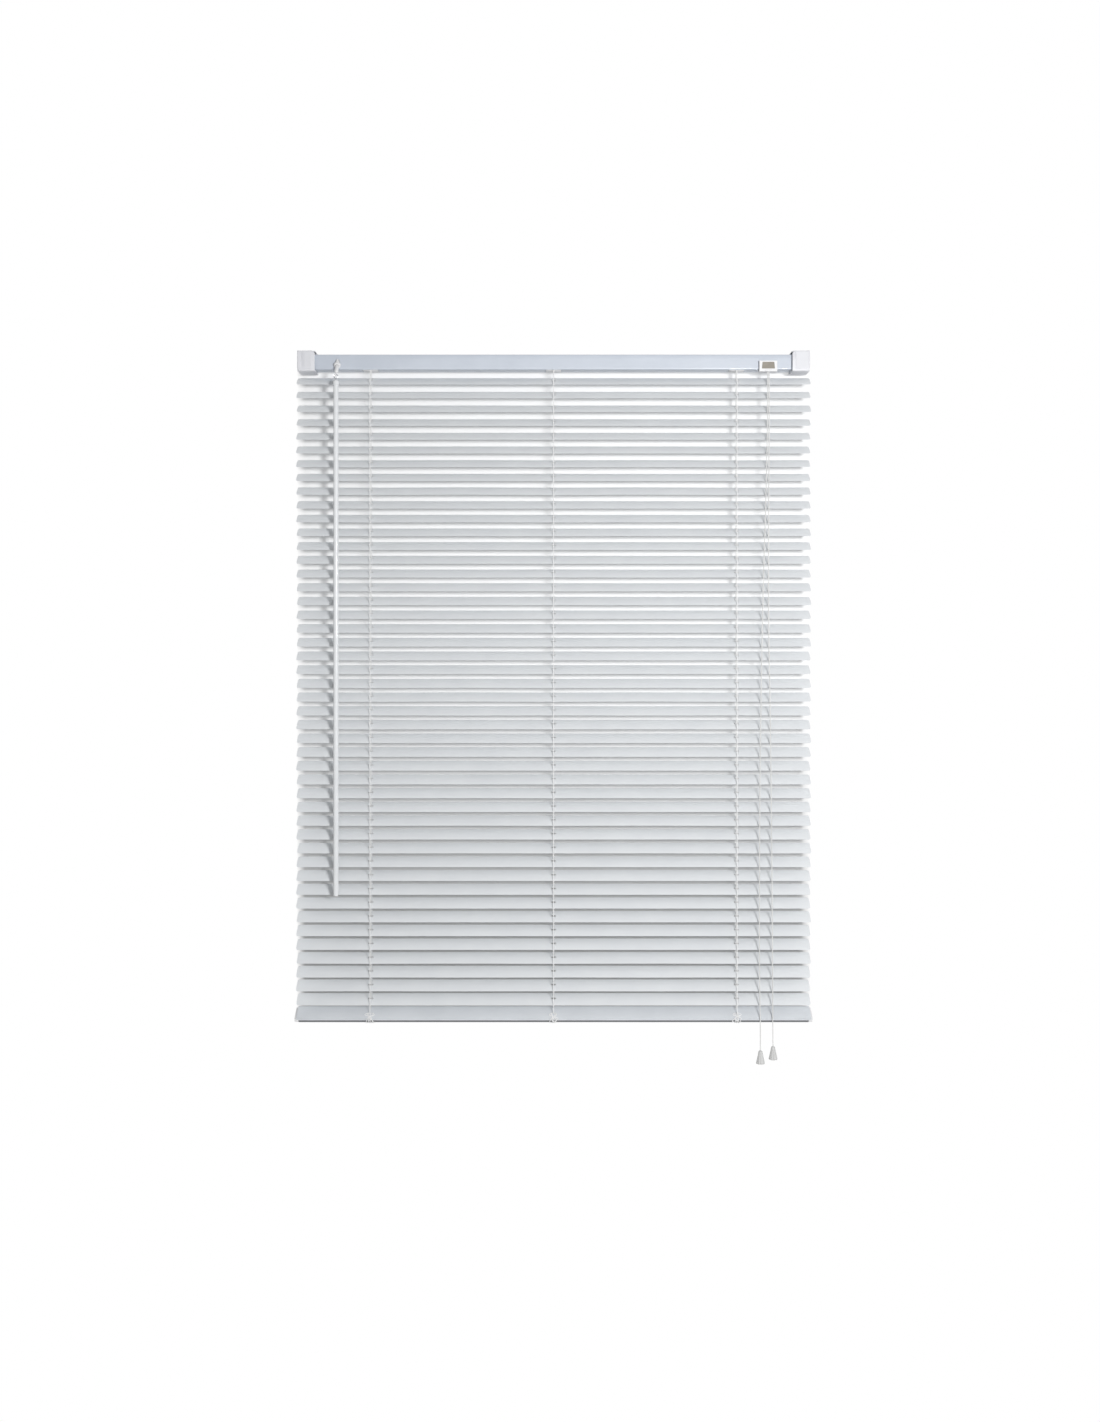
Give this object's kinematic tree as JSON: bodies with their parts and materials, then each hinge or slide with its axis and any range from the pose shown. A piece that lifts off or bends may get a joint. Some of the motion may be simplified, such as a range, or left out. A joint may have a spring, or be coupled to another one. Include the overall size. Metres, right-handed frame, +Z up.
{
  "type": "venetian blind",
  "caption": "White venetian blind: tilting slats on ladder strings under a headrail in box brackets, with a tilt wand, a pull cord and a bottom rail.",
  "frame": {"origin": "midway between the top faces of the two brackets, in the plane that the slats' axes lie in", "axes": "+X to the right seen from the room, +Y towards the window or wall, +Z up"},
  "size_m": [0.864, 0.0499, 1.1853],
  "materials": {
    "headrail_steel": "satin white enamel, faintly blue",
    "bracket_plastic": "moulded, fine satin",
    "fitting_plastic": "moulded, satin",
    "rod_steel": "zinc plated",
    "wand_plastic": "extruded, glossy",
    "slat_pvc": "calendered, satin white",
    "bottom_rail_pvc": "extruded, satin white",
    "ladder_string": "braided polyester",
    "pull_cord_braid": "braided polyester",
    "tassel_plastic": "moulded, ribbed"
  },
  "bodies": {
    "headrail": {"headrail": "headrail_steel", "bracket_left": "bracket_plastic", "bracket_right": "bracket_plastic", "cord_lock": "fitting_plastic", "pull_cord": "pull_cord_braid", "tassel": "tassel_plastic"},
    "bracket_cover_left": {"bracket_cover_left": "bracket_plastic"},
    "bracket_cover_right": {"bracket_cover_right": "bracket_plastic"},
    "tilt_rod": {"tilt_rod": "rod_steel"},
    "tilter_stem": {"tilter_stem": "fitting_plastic"},
    "tilt_wand": {"tilt_wand": "wand_plastic"},
    "bottom_rail": {"bottom_rail": "bottom_rail_pvc"},
    "ladder_string_front": {"ladder_string_front": "ladder_string"},
    "ladder_string_rear": {"ladder_string_rear": "ladder_string"},
    "slat_01": {"slat_01": "slat_pvc"},
    "slat_02": {"slat_02": "slat_pvc"},
    "slat_03": {"slat_03": "slat_pvc"},
    "slat_04": {"slat_04": "slat_pvc"},
    "slat_05": {"slat_05": "slat_pvc"},
    "slat_06": {"slat_06": "slat_pvc"},
    "slat_07": {"slat_07": "slat_pvc"},
    "slat_08": {"slat_08": "slat_pvc"},
    "slat_09": {"slat_09": "slat_pvc"},
    "slat_10": {"slat_10": "slat_pvc"},
    "slat_11": {"slat_11": "slat_pvc"},
    "slat_12": {"slat_12": "slat_pvc"},
    "slat_13": {"slat_13": "slat_pvc"},
    "slat_14": {"slat_14": "slat_pvc"},
    "slat_15": {"slat_15": "slat_pvc"},
    "slat_16": {"slat_16": "slat_pvc"},
    "slat_17": {"slat_17": "slat_pvc"},
    "slat_18": {"slat_18": "slat_pvc"},
    "slat_19": {"slat_19": "slat_pvc"},
    "slat_20": {"slat_20": "slat_pvc"},
    "slat_21": {"slat_21": "slat_pvc"},
    "slat_22": {"slat_22": "slat_pvc"},
    "slat_23": {"slat_23": "slat_pvc"},
    "slat_24": {"slat_24": "slat_pvc"},
    "slat_25": {"slat_25": "slat_pvc"},
    "slat_26": {"slat_26": "slat_pvc"},
    "slat_27": {"slat_27": "slat_pvc"},
    "slat_28": {"slat_28": "slat_pvc"},
    "slat_29": {"slat_29": "slat_pvc"},
    "slat_30": {"slat_30": "slat_pvc"},
    "slat_31": {"slat_31": "slat_pvc"},
    "slat_32": {"slat_32": "slat_pvc"},
    "slat_33": {"slat_33": "slat_pvc"},
    "slat_34": {"slat_34": "slat_pvc"},
    "slat_35": {"slat_35": "slat_pvc"},
    "slat_36": {"slat_36": "slat_pvc"},
    "slat_37": {"slat_37": "slat_pvc"},
    "slat_38": {"slat_38": "slat_pvc"},
    "slat_39": {"slat_39": "slat_pvc"},
    "slat_40": {"slat_40": "slat_pvc"},
    "slat_41": {"slat_41": "slat_pvc"},
    "slat_42": {"slat_42": "slat_pvc"},
    "slat_43": {"slat_43": "slat_pvc"},
    "slat_44": {"slat_44": "slat_pvc"},
    "slat_45": {"slat_45": "slat_pvc"},
    "slat_46": {"slat_46": "slat_pvc"}
  },
  "joints": [
    {"name": "tilt_rod_turn", "type": "hinge", "parent": "headrail", "child": "tilt_rod", "pos_m": [0, 0, -0.018], "axis": [1, 0, 0], "range_deg": [-105, 35]},
    {"name": "slat_01_tilt", "type": "hinge", "parent": "headrail", "child": "slat_01", "pos_m": [0, 0, -0.0483], "axis": [1, 0, 0], "range_deg": [-105, 35]},
    {"name": "slat_02_tilt", "type": "hinge", "parent": "headrail", "child": "slat_02", "pos_m": [0, 0, -0.0713], "axis": [1, 0, 0], "range_deg": [-105, 35]},
    {"name": "slat_03_tilt", "type": "hinge", "parent": "headrail", "child": "slat_03", "pos_m": [0, 0, -0.0943], "axis": [1, 0, 0], "range_deg": [-105, 35]},
    {"name": "slat_04_tilt", "type": "hinge", "parent": "headrail", "child": "slat_04", "pos_m": [0, 0, -0.1173], "axis": [1, 0, 0], "range_deg": [-105, 35]},
    {"name": "slat_05_tilt", "type": "hinge", "parent": "headrail", "child": "slat_05", "pos_m": [0, 0, -0.1403], "axis": [1, 0, 0], "range_deg": [-105, 35]},
    {"name": "slat_06_tilt", "type": "hinge", "parent": "headrail", "child": "slat_06", "pos_m": [0, 0, -0.1633], "axis": [1, 0, 0], "range_deg": [-105, 35]},
    {"name": "slat_07_tilt", "type": "hinge", "parent": "headrail", "child": "slat_07", "pos_m": [0, 0, -0.1863], "axis": [1, 0, 0], "range_deg": [-105, 35]},
    {"name": "slat_08_tilt", "type": "hinge", "parent": "headrail", "child": "slat_08", "pos_m": [0, 0, -0.2093], "axis": [1, 0, 0], "range_deg": [-105, 35]},
    {"name": "slat_09_tilt", "type": "hinge", "parent": "headrail", "child": "slat_09", "pos_m": [0, 0, -0.2323], "axis": [1, 0, 0], "range_deg": [-105, 35]},
    {"name": "slat_10_tilt", "type": "hinge", "parent": "headrail", "child": "slat_10", "pos_m": [0, 0, -0.2553], "axis": [1, 0, 0], "range_deg": [-105, 35]},
    {"name": "slat_11_tilt", "type": "hinge", "parent": "headrail", "child": "slat_11", "pos_m": [0, 0, -0.2783], "axis": [1, 0, 0], "range_deg": [-105, 35]},
    {"name": "slat_12_tilt", "type": "hinge", "parent": "headrail", "child": "slat_12", "pos_m": [0, 0, -0.3013], "axis": [1, 0, 0], "range_deg": [-105, 35]},
    {"name": "slat_13_tilt", "type": "hinge", "parent": "headrail", "child": "slat_13", "pos_m": [0, 0, -0.3243], "axis": [1, 0, 0], "range_deg": [-105, 35]},
    {"name": "slat_14_tilt", "type": "hinge", "parent": "headrail", "child": "slat_14", "pos_m": [0, 0, -0.3473], "axis": [1, 0, 0], "range_deg": [-105, 35]},
    {"name": "slat_15_tilt", "type": "hinge", "parent": "headrail", "child": "slat_15", "pos_m": [0, 0, -0.3703], "axis": [1, 0, 0], "range_deg": [-105, 35]},
    {"name": "slat_16_tilt", "type": "hinge", "parent": "headrail", "child": "slat_16", "pos_m": [0, 0, -0.3933], "axis": [1, 0, 0], "range_deg": [-105, 35]},
    {"name": "slat_17_tilt", "type": "hinge", "parent": "headrail", "child": "slat_17", "pos_m": [0, 0, -0.4163], "axis": [1, 0, 0], "range_deg": [-105, 35]},
    {"name": "slat_18_tilt", "type": "hinge", "parent": "headrail", "child": "slat_18", "pos_m": [0, 0, -0.4393], "axis": [1, 0, 0], "range_deg": [-105, 35]},
    {"name": "slat_19_tilt", "type": "hinge", "parent": "headrail", "child": "slat_19", "pos_m": [0, 0, -0.4623], "axis": [1, 0, 0], "range_deg": [-105, 35]},
    {"name": "slat_20_tilt", "type": "hinge", "parent": "headrail", "child": "slat_20", "pos_m": [0, 0, -0.4853], "axis": [1, 0, 0], "range_deg": [-105, 35]},
    {"name": "slat_21_tilt", "type": "hinge", "parent": "headrail", "child": "slat_21", "pos_m": [0, 0, -0.5083], "axis": [1, 0, 0], "range_deg": [-105, 35]},
    {"name": "slat_22_tilt", "type": "hinge", "parent": "headrail", "child": "slat_22", "pos_m": [0, 0, -0.5313], "axis": [1, 0, 0], "range_deg": [-105, 35]},
    {"name": "slat_23_tilt", "type": "hinge", "parent": "headrail", "child": "slat_23", "pos_m": [0, 0, -0.5543], "axis": [1, 0, 0], "range_deg": [-105, 35]},
    {"name": "slat_24_tilt", "type": "hinge", "parent": "headrail", "child": "slat_24", "pos_m": [0, 0, -0.5773], "axis": [1, 0, 0], "range_deg": [-105, 35]},
    {"name": "slat_25_tilt", "type": "hinge", "parent": "headrail", "child": "slat_25", "pos_m": [0, 0, -0.6003], "axis": [1, 0, 0], "range_deg": [-105, 35]},
    {"name": "slat_26_tilt", "type": "hinge", "parent": "headrail", "child": "slat_26", "pos_m": [0, 0, -0.6233], "axis": [1, 0, 0], "range_deg": [-105, 35]},
    {"name": "slat_27_tilt", "type": "hinge", "parent": "headrail", "child": "slat_27", "pos_m": [0, 0, -0.6463], "axis": [1, 0, 0], "range_deg": [-105, 35]},
    {"name": "slat_28_tilt", "type": "hinge", "parent": "headrail", "child": "slat_28", "pos_m": [0, 0, -0.6693], "axis": [1, 0, 0], "range_deg": [-105, 35]},
    {"name": "slat_29_tilt", "type": "hinge", "parent": "headrail", "child": "slat_29", "pos_m": [0, 0, -0.6923], "axis": [1, 0, 0], "range_deg": [-105, 35]},
    {"name": "slat_30_tilt", "type": "hinge", "parent": "headrail", "child": "slat_30", "pos_m": [0, 0, -0.7153], "axis": [1, 0, 0], "range_deg": [-105, 35]},
    {"name": "slat_31_tilt", "type": "hinge", "parent": "headrail", "child": "slat_31", "pos_m": [0, 0, -0.7383], "axis": [1, 0, 0], "range_deg": [-105, 35]},
    {"name": "slat_32_tilt", "type": "hinge", "parent": "headrail", "child": "slat_32", "pos_m": [0, 0, -0.7613], "axis": [1, 0, 0], "range_deg": [-105, 35]},
    {"name": "slat_33_tilt", "type": "hinge", "parent": "headrail", "child": "slat_33", "pos_m": [0, 0, -0.7843], "axis": [1, 0, 0], "range_deg": [-105, 35]},
    {"name": "slat_34_tilt", "type": "hinge", "parent": "headrail", "child": "slat_34", "pos_m": [0, 0, -0.8073], "axis": [1, 0, 0], "range_deg": [-105, 35]},
    {"name": "slat_35_tilt", "type": "hinge", "parent": "headrail", "child": "slat_35", "pos_m": [0, 0, -0.8303], "axis": [1, 0, 0], "range_deg": [-105, 35]},
    {"name": "slat_36_tilt", "type": "hinge", "parent": "headrail", "child": "slat_36", "pos_m": [0, 0, -0.8533], "axis": [1, 0, 0], "range_deg": [-105, 35]},
    {"name": "slat_37_tilt", "type": "hinge", "parent": "headrail", "child": "slat_37", "pos_m": [0, 0, -0.8763], "axis": [1, 0, 0], "range_deg": [-105, 35]},
    {"name": "slat_38_tilt", "type": "hinge", "parent": "headrail", "child": "slat_38", "pos_m": [0, 0, -0.8993], "axis": [1, 0, 0], "range_deg": [-105, 35]},
    {"name": "slat_39_tilt", "type": "hinge", "parent": "headrail", "child": "slat_39", "pos_m": [0, 0, -0.9223], "axis": [1, 0, 0], "range_deg": [-105, 35]},
    {"name": "slat_40_tilt", "type": "hinge", "parent": "headrail", "child": "slat_40", "pos_m": [0, 0, -0.9453], "axis": [1, 0, 0], "range_deg": [-105, 35]},
    {"name": "slat_41_tilt", "type": "hinge", "parent": "headrail", "child": "slat_41", "pos_m": [0, 0, -0.9683], "axis": [1, 0, 0], "range_deg": [-105, 35]},
    {"name": "slat_42_tilt", "type": "hinge", "parent": "headrail", "child": "slat_42", "pos_m": [0, 0, -0.9913], "axis": [1, 0, 0], "range_deg": [-105, 35]},
    {"name": "slat_43_tilt", "type": "hinge", "parent": "headrail", "child": "slat_43", "pos_m": [0, 0, -1.0143], "axis": [1, 0, 0], "range_deg": [-105, 35]},
    {"name": "slat_44_tilt", "type": "hinge", "parent": "headrail", "child": "slat_44", "pos_m": [0, 0, -1.0373], "axis": [1, 0, 0], "range_deg": [-105, 35]},
    {"name": "slat_45_tilt", "type": "hinge", "parent": "headrail", "child": "slat_45", "pos_m": [0, 0, -1.0603], "axis": [1, 0, 0], "range_deg": [-105, 35]},
    {"name": "slat_46_tilt", "type": "hinge", "parent": "headrail", "child": "slat_46", "pos_m": [0, 0, -1.0833], "axis": [1, 0, 0], "range_deg": [-105, 35]},
    {"name": "bottom_rail_tilt", "type": "hinge", "parent": "headrail", "child": "bottom_rail", "pos_m": [0, 0, -1.1093], "axis": [1, 0, 0], "range_deg": [-105, 35]},
    {"name": "ladder_front_hang", "type": "hinge", "parent": "tilt_rod", "child": "ladder_string_front", "pos_m": [0, -0.01081, -0.02557], "axis": [1, 0, 0], "range_deg": [-35, 105]},
    {"name": "ladder_rear_hang", "type": "hinge", "parent": "tilt_rod", "child": "ladder_string_rear", "pos_m": [0, 0.01081, -0.01043], "axis": [1, 0, 0], "range_deg": [-35, 105]},
    {"name": "tilter_stem_turn", "type": "hinge", "parent": "headrail", "child": "tilter_stem", "pos_m": [-0.36, -0.0278, -0.042], "axis": [0, -0.5736, -0.8192], "range_deg": [-1260, 420]},
    {"name": "tilt_wand_turn", "type": "hinge", "parent": "headrail", "child": "tilt_wand", "pos_m": [-0.36, -0.0278, -0.042], "axis": [0, 0, -1], "range_deg": [-1260, 420]},
    {"name": "bracket_cover_left_swing", "type": "hinge", "parent": "headrail", "child": "bracket_cover_left", "pos_m": [-0.4115, -0.0174, -0.0332], "axis": [1, 0, 0], "range_deg": [0, 110]},
    {"name": "bracket_cover_right_swing", "type": "hinge", "parent": "headrail", "child": "bracket_cover_right", "pos_m": [0.4115, -0.0174, -0.0332], "axis": [1, 0, 0], "range_deg": [0, 110]}
  ],
  "couplings": [
    {"joint": "slat_01_tilt", "follows": "tilt_rod_turn", "ratio": 1},
    {"joint": "slat_02_tilt", "follows": "tilt_rod_turn", "ratio": 1},
    {"joint": "slat_03_tilt", "follows": "tilt_rod_turn", "ratio": 1},
    {"joint": "slat_04_tilt", "follows": "tilt_rod_turn", "ratio": 1},
    {"joint": "slat_05_tilt", "follows": "tilt_rod_turn", "ratio": 1},
    {"joint": "slat_06_tilt", "follows": "tilt_rod_turn", "ratio": 1},
    {"joint": "slat_07_tilt", "follows": "tilt_rod_turn", "ratio": 1},
    {"joint": "slat_08_tilt", "follows": "tilt_rod_turn", "ratio": 1},
    {"joint": "slat_09_tilt", "follows": "tilt_rod_turn", "ratio": 1},
    {"joint": "slat_10_tilt", "follows": "tilt_rod_turn", "ratio": 1},
    {"joint": "slat_11_tilt", "follows": "tilt_rod_turn", "ratio": 1},
    {"joint": "slat_12_tilt", "follows": "tilt_rod_turn", "ratio": 1},
    {"joint": "slat_13_tilt", "follows": "tilt_rod_turn", "ratio": 1},
    {"joint": "slat_14_tilt", "follows": "tilt_rod_turn", "ratio": 1},
    {"joint": "slat_15_tilt", "follows": "tilt_rod_turn", "ratio": 1},
    {"joint": "slat_16_tilt", "follows": "tilt_rod_turn", "ratio": 1},
    {"joint": "slat_17_tilt", "follows": "tilt_rod_turn", "ratio": 1},
    {"joint": "slat_18_tilt", "follows": "tilt_rod_turn", "ratio": 1},
    {"joint": "slat_19_tilt", "follows": "tilt_rod_turn", "ratio": 1},
    {"joint": "slat_20_tilt", "follows": "tilt_rod_turn", "ratio": 1},
    {"joint": "slat_21_tilt", "follows": "tilt_rod_turn", "ratio": 1},
    {"joint": "slat_22_tilt", "follows": "tilt_rod_turn", "ratio": 1},
    {"joint": "slat_23_tilt", "follows": "tilt_rod_turn", "ratio": 1},
    {"joint": "slat_24_tilt", "follows": "tilt_rod_turn", "ratio": 1},
    {"joint": "slat_25_tilt", "follows": "tilt_rod_turn", "ratio": 1},
    {"joint": "slat_26_tilt", "follows": "tilt_rod_turn", "ratio": 1},
    {"joint": "slat_27_tilt", "follows": "tilt_rod_turn", "ratio": 1},
    {"joint": "slat_28_tilt", "follows": "tilt_rod_turn", "ratio": 1},
    {"joint": "slat_29_tilt", "follows": "tilt_rod_turn", "ratio": 1},
    {"joint": "slat_30_tilt", "follows": "tilt_rod_turn", "ratio": 1},
    {"joint": "slat_31_tilt", "follows": "tilt_rod_turn", "ratio": 1},
    {"joint": "slat_32_tilt", "follows": "tilt_rod_turn", "ratio": 1},
    {"joint": "slat_33_tilt", "follows": "tilt_rod_turn", "ratio": 1},
    {"joint": "slat_34_tilt", "follows": "tilt_rod_turn", "ratio": 1},
    {"joint": "slat_35_tilt", "follows": "tilt_rod_turn", "ratio": 1},
    {"joint": "slat_36_tilt", "follows": "tilt_rod_turn", "ratio": 1},
    {"joint": "slat_37_tilt", "follows": "tilt_rod_turn", "ratio": 1},
    {"joint": "slat_38_tilt", "follows": "tilt_rod_turn", "ratio": 1},
    {"joint": "slat_39_tilt", "follows": "tilt_rod_turn", "ratio": 1},
    {"joint": "slat_40_tilt", "follows": "tilt_rod_turn", "ratio": 1},
    {"joint": "slat_41_tilt", "follows": "tilt_rod_turn", "ratio": 1},
    {"joint": "slat_42_tilt", "follows": "tilt_rod_turn", "ratio": 1},
    {"joint": "slat_43_tilt", "follows": "tilt_rod_turn", "ratio": 1},
    {"joint": "slat_44_tilt", "follows": "tilt_rod_turn", "ratio": 1},
    {"joint": "slat_45_tilt", "follows": "tilt_rod_turn", "ratio": 1},
    {"joint": "slat_46_tilt", "follows": "tilt_rod_turn", "ratio": 1},
    {"joint": "bottom_rail_tilt", "follows": "tilt_rod_turn", "ratio": 1},
    {"joint": "ladder_front_hang", "follows": "tilt_rod_turn", "ratio": -1},
    {"joint": "ladder_rear_hang", "follows": "tilt_rod_turn", "ratio": -1},
    {"joint": "tilter_stem_turn", "follows": "tilt_rod_turn", "ratio": 12},
    {"joint": "tilt_wand_turn", "follows": "tilt_rod_turn", "ratio": 12}
  ]
}
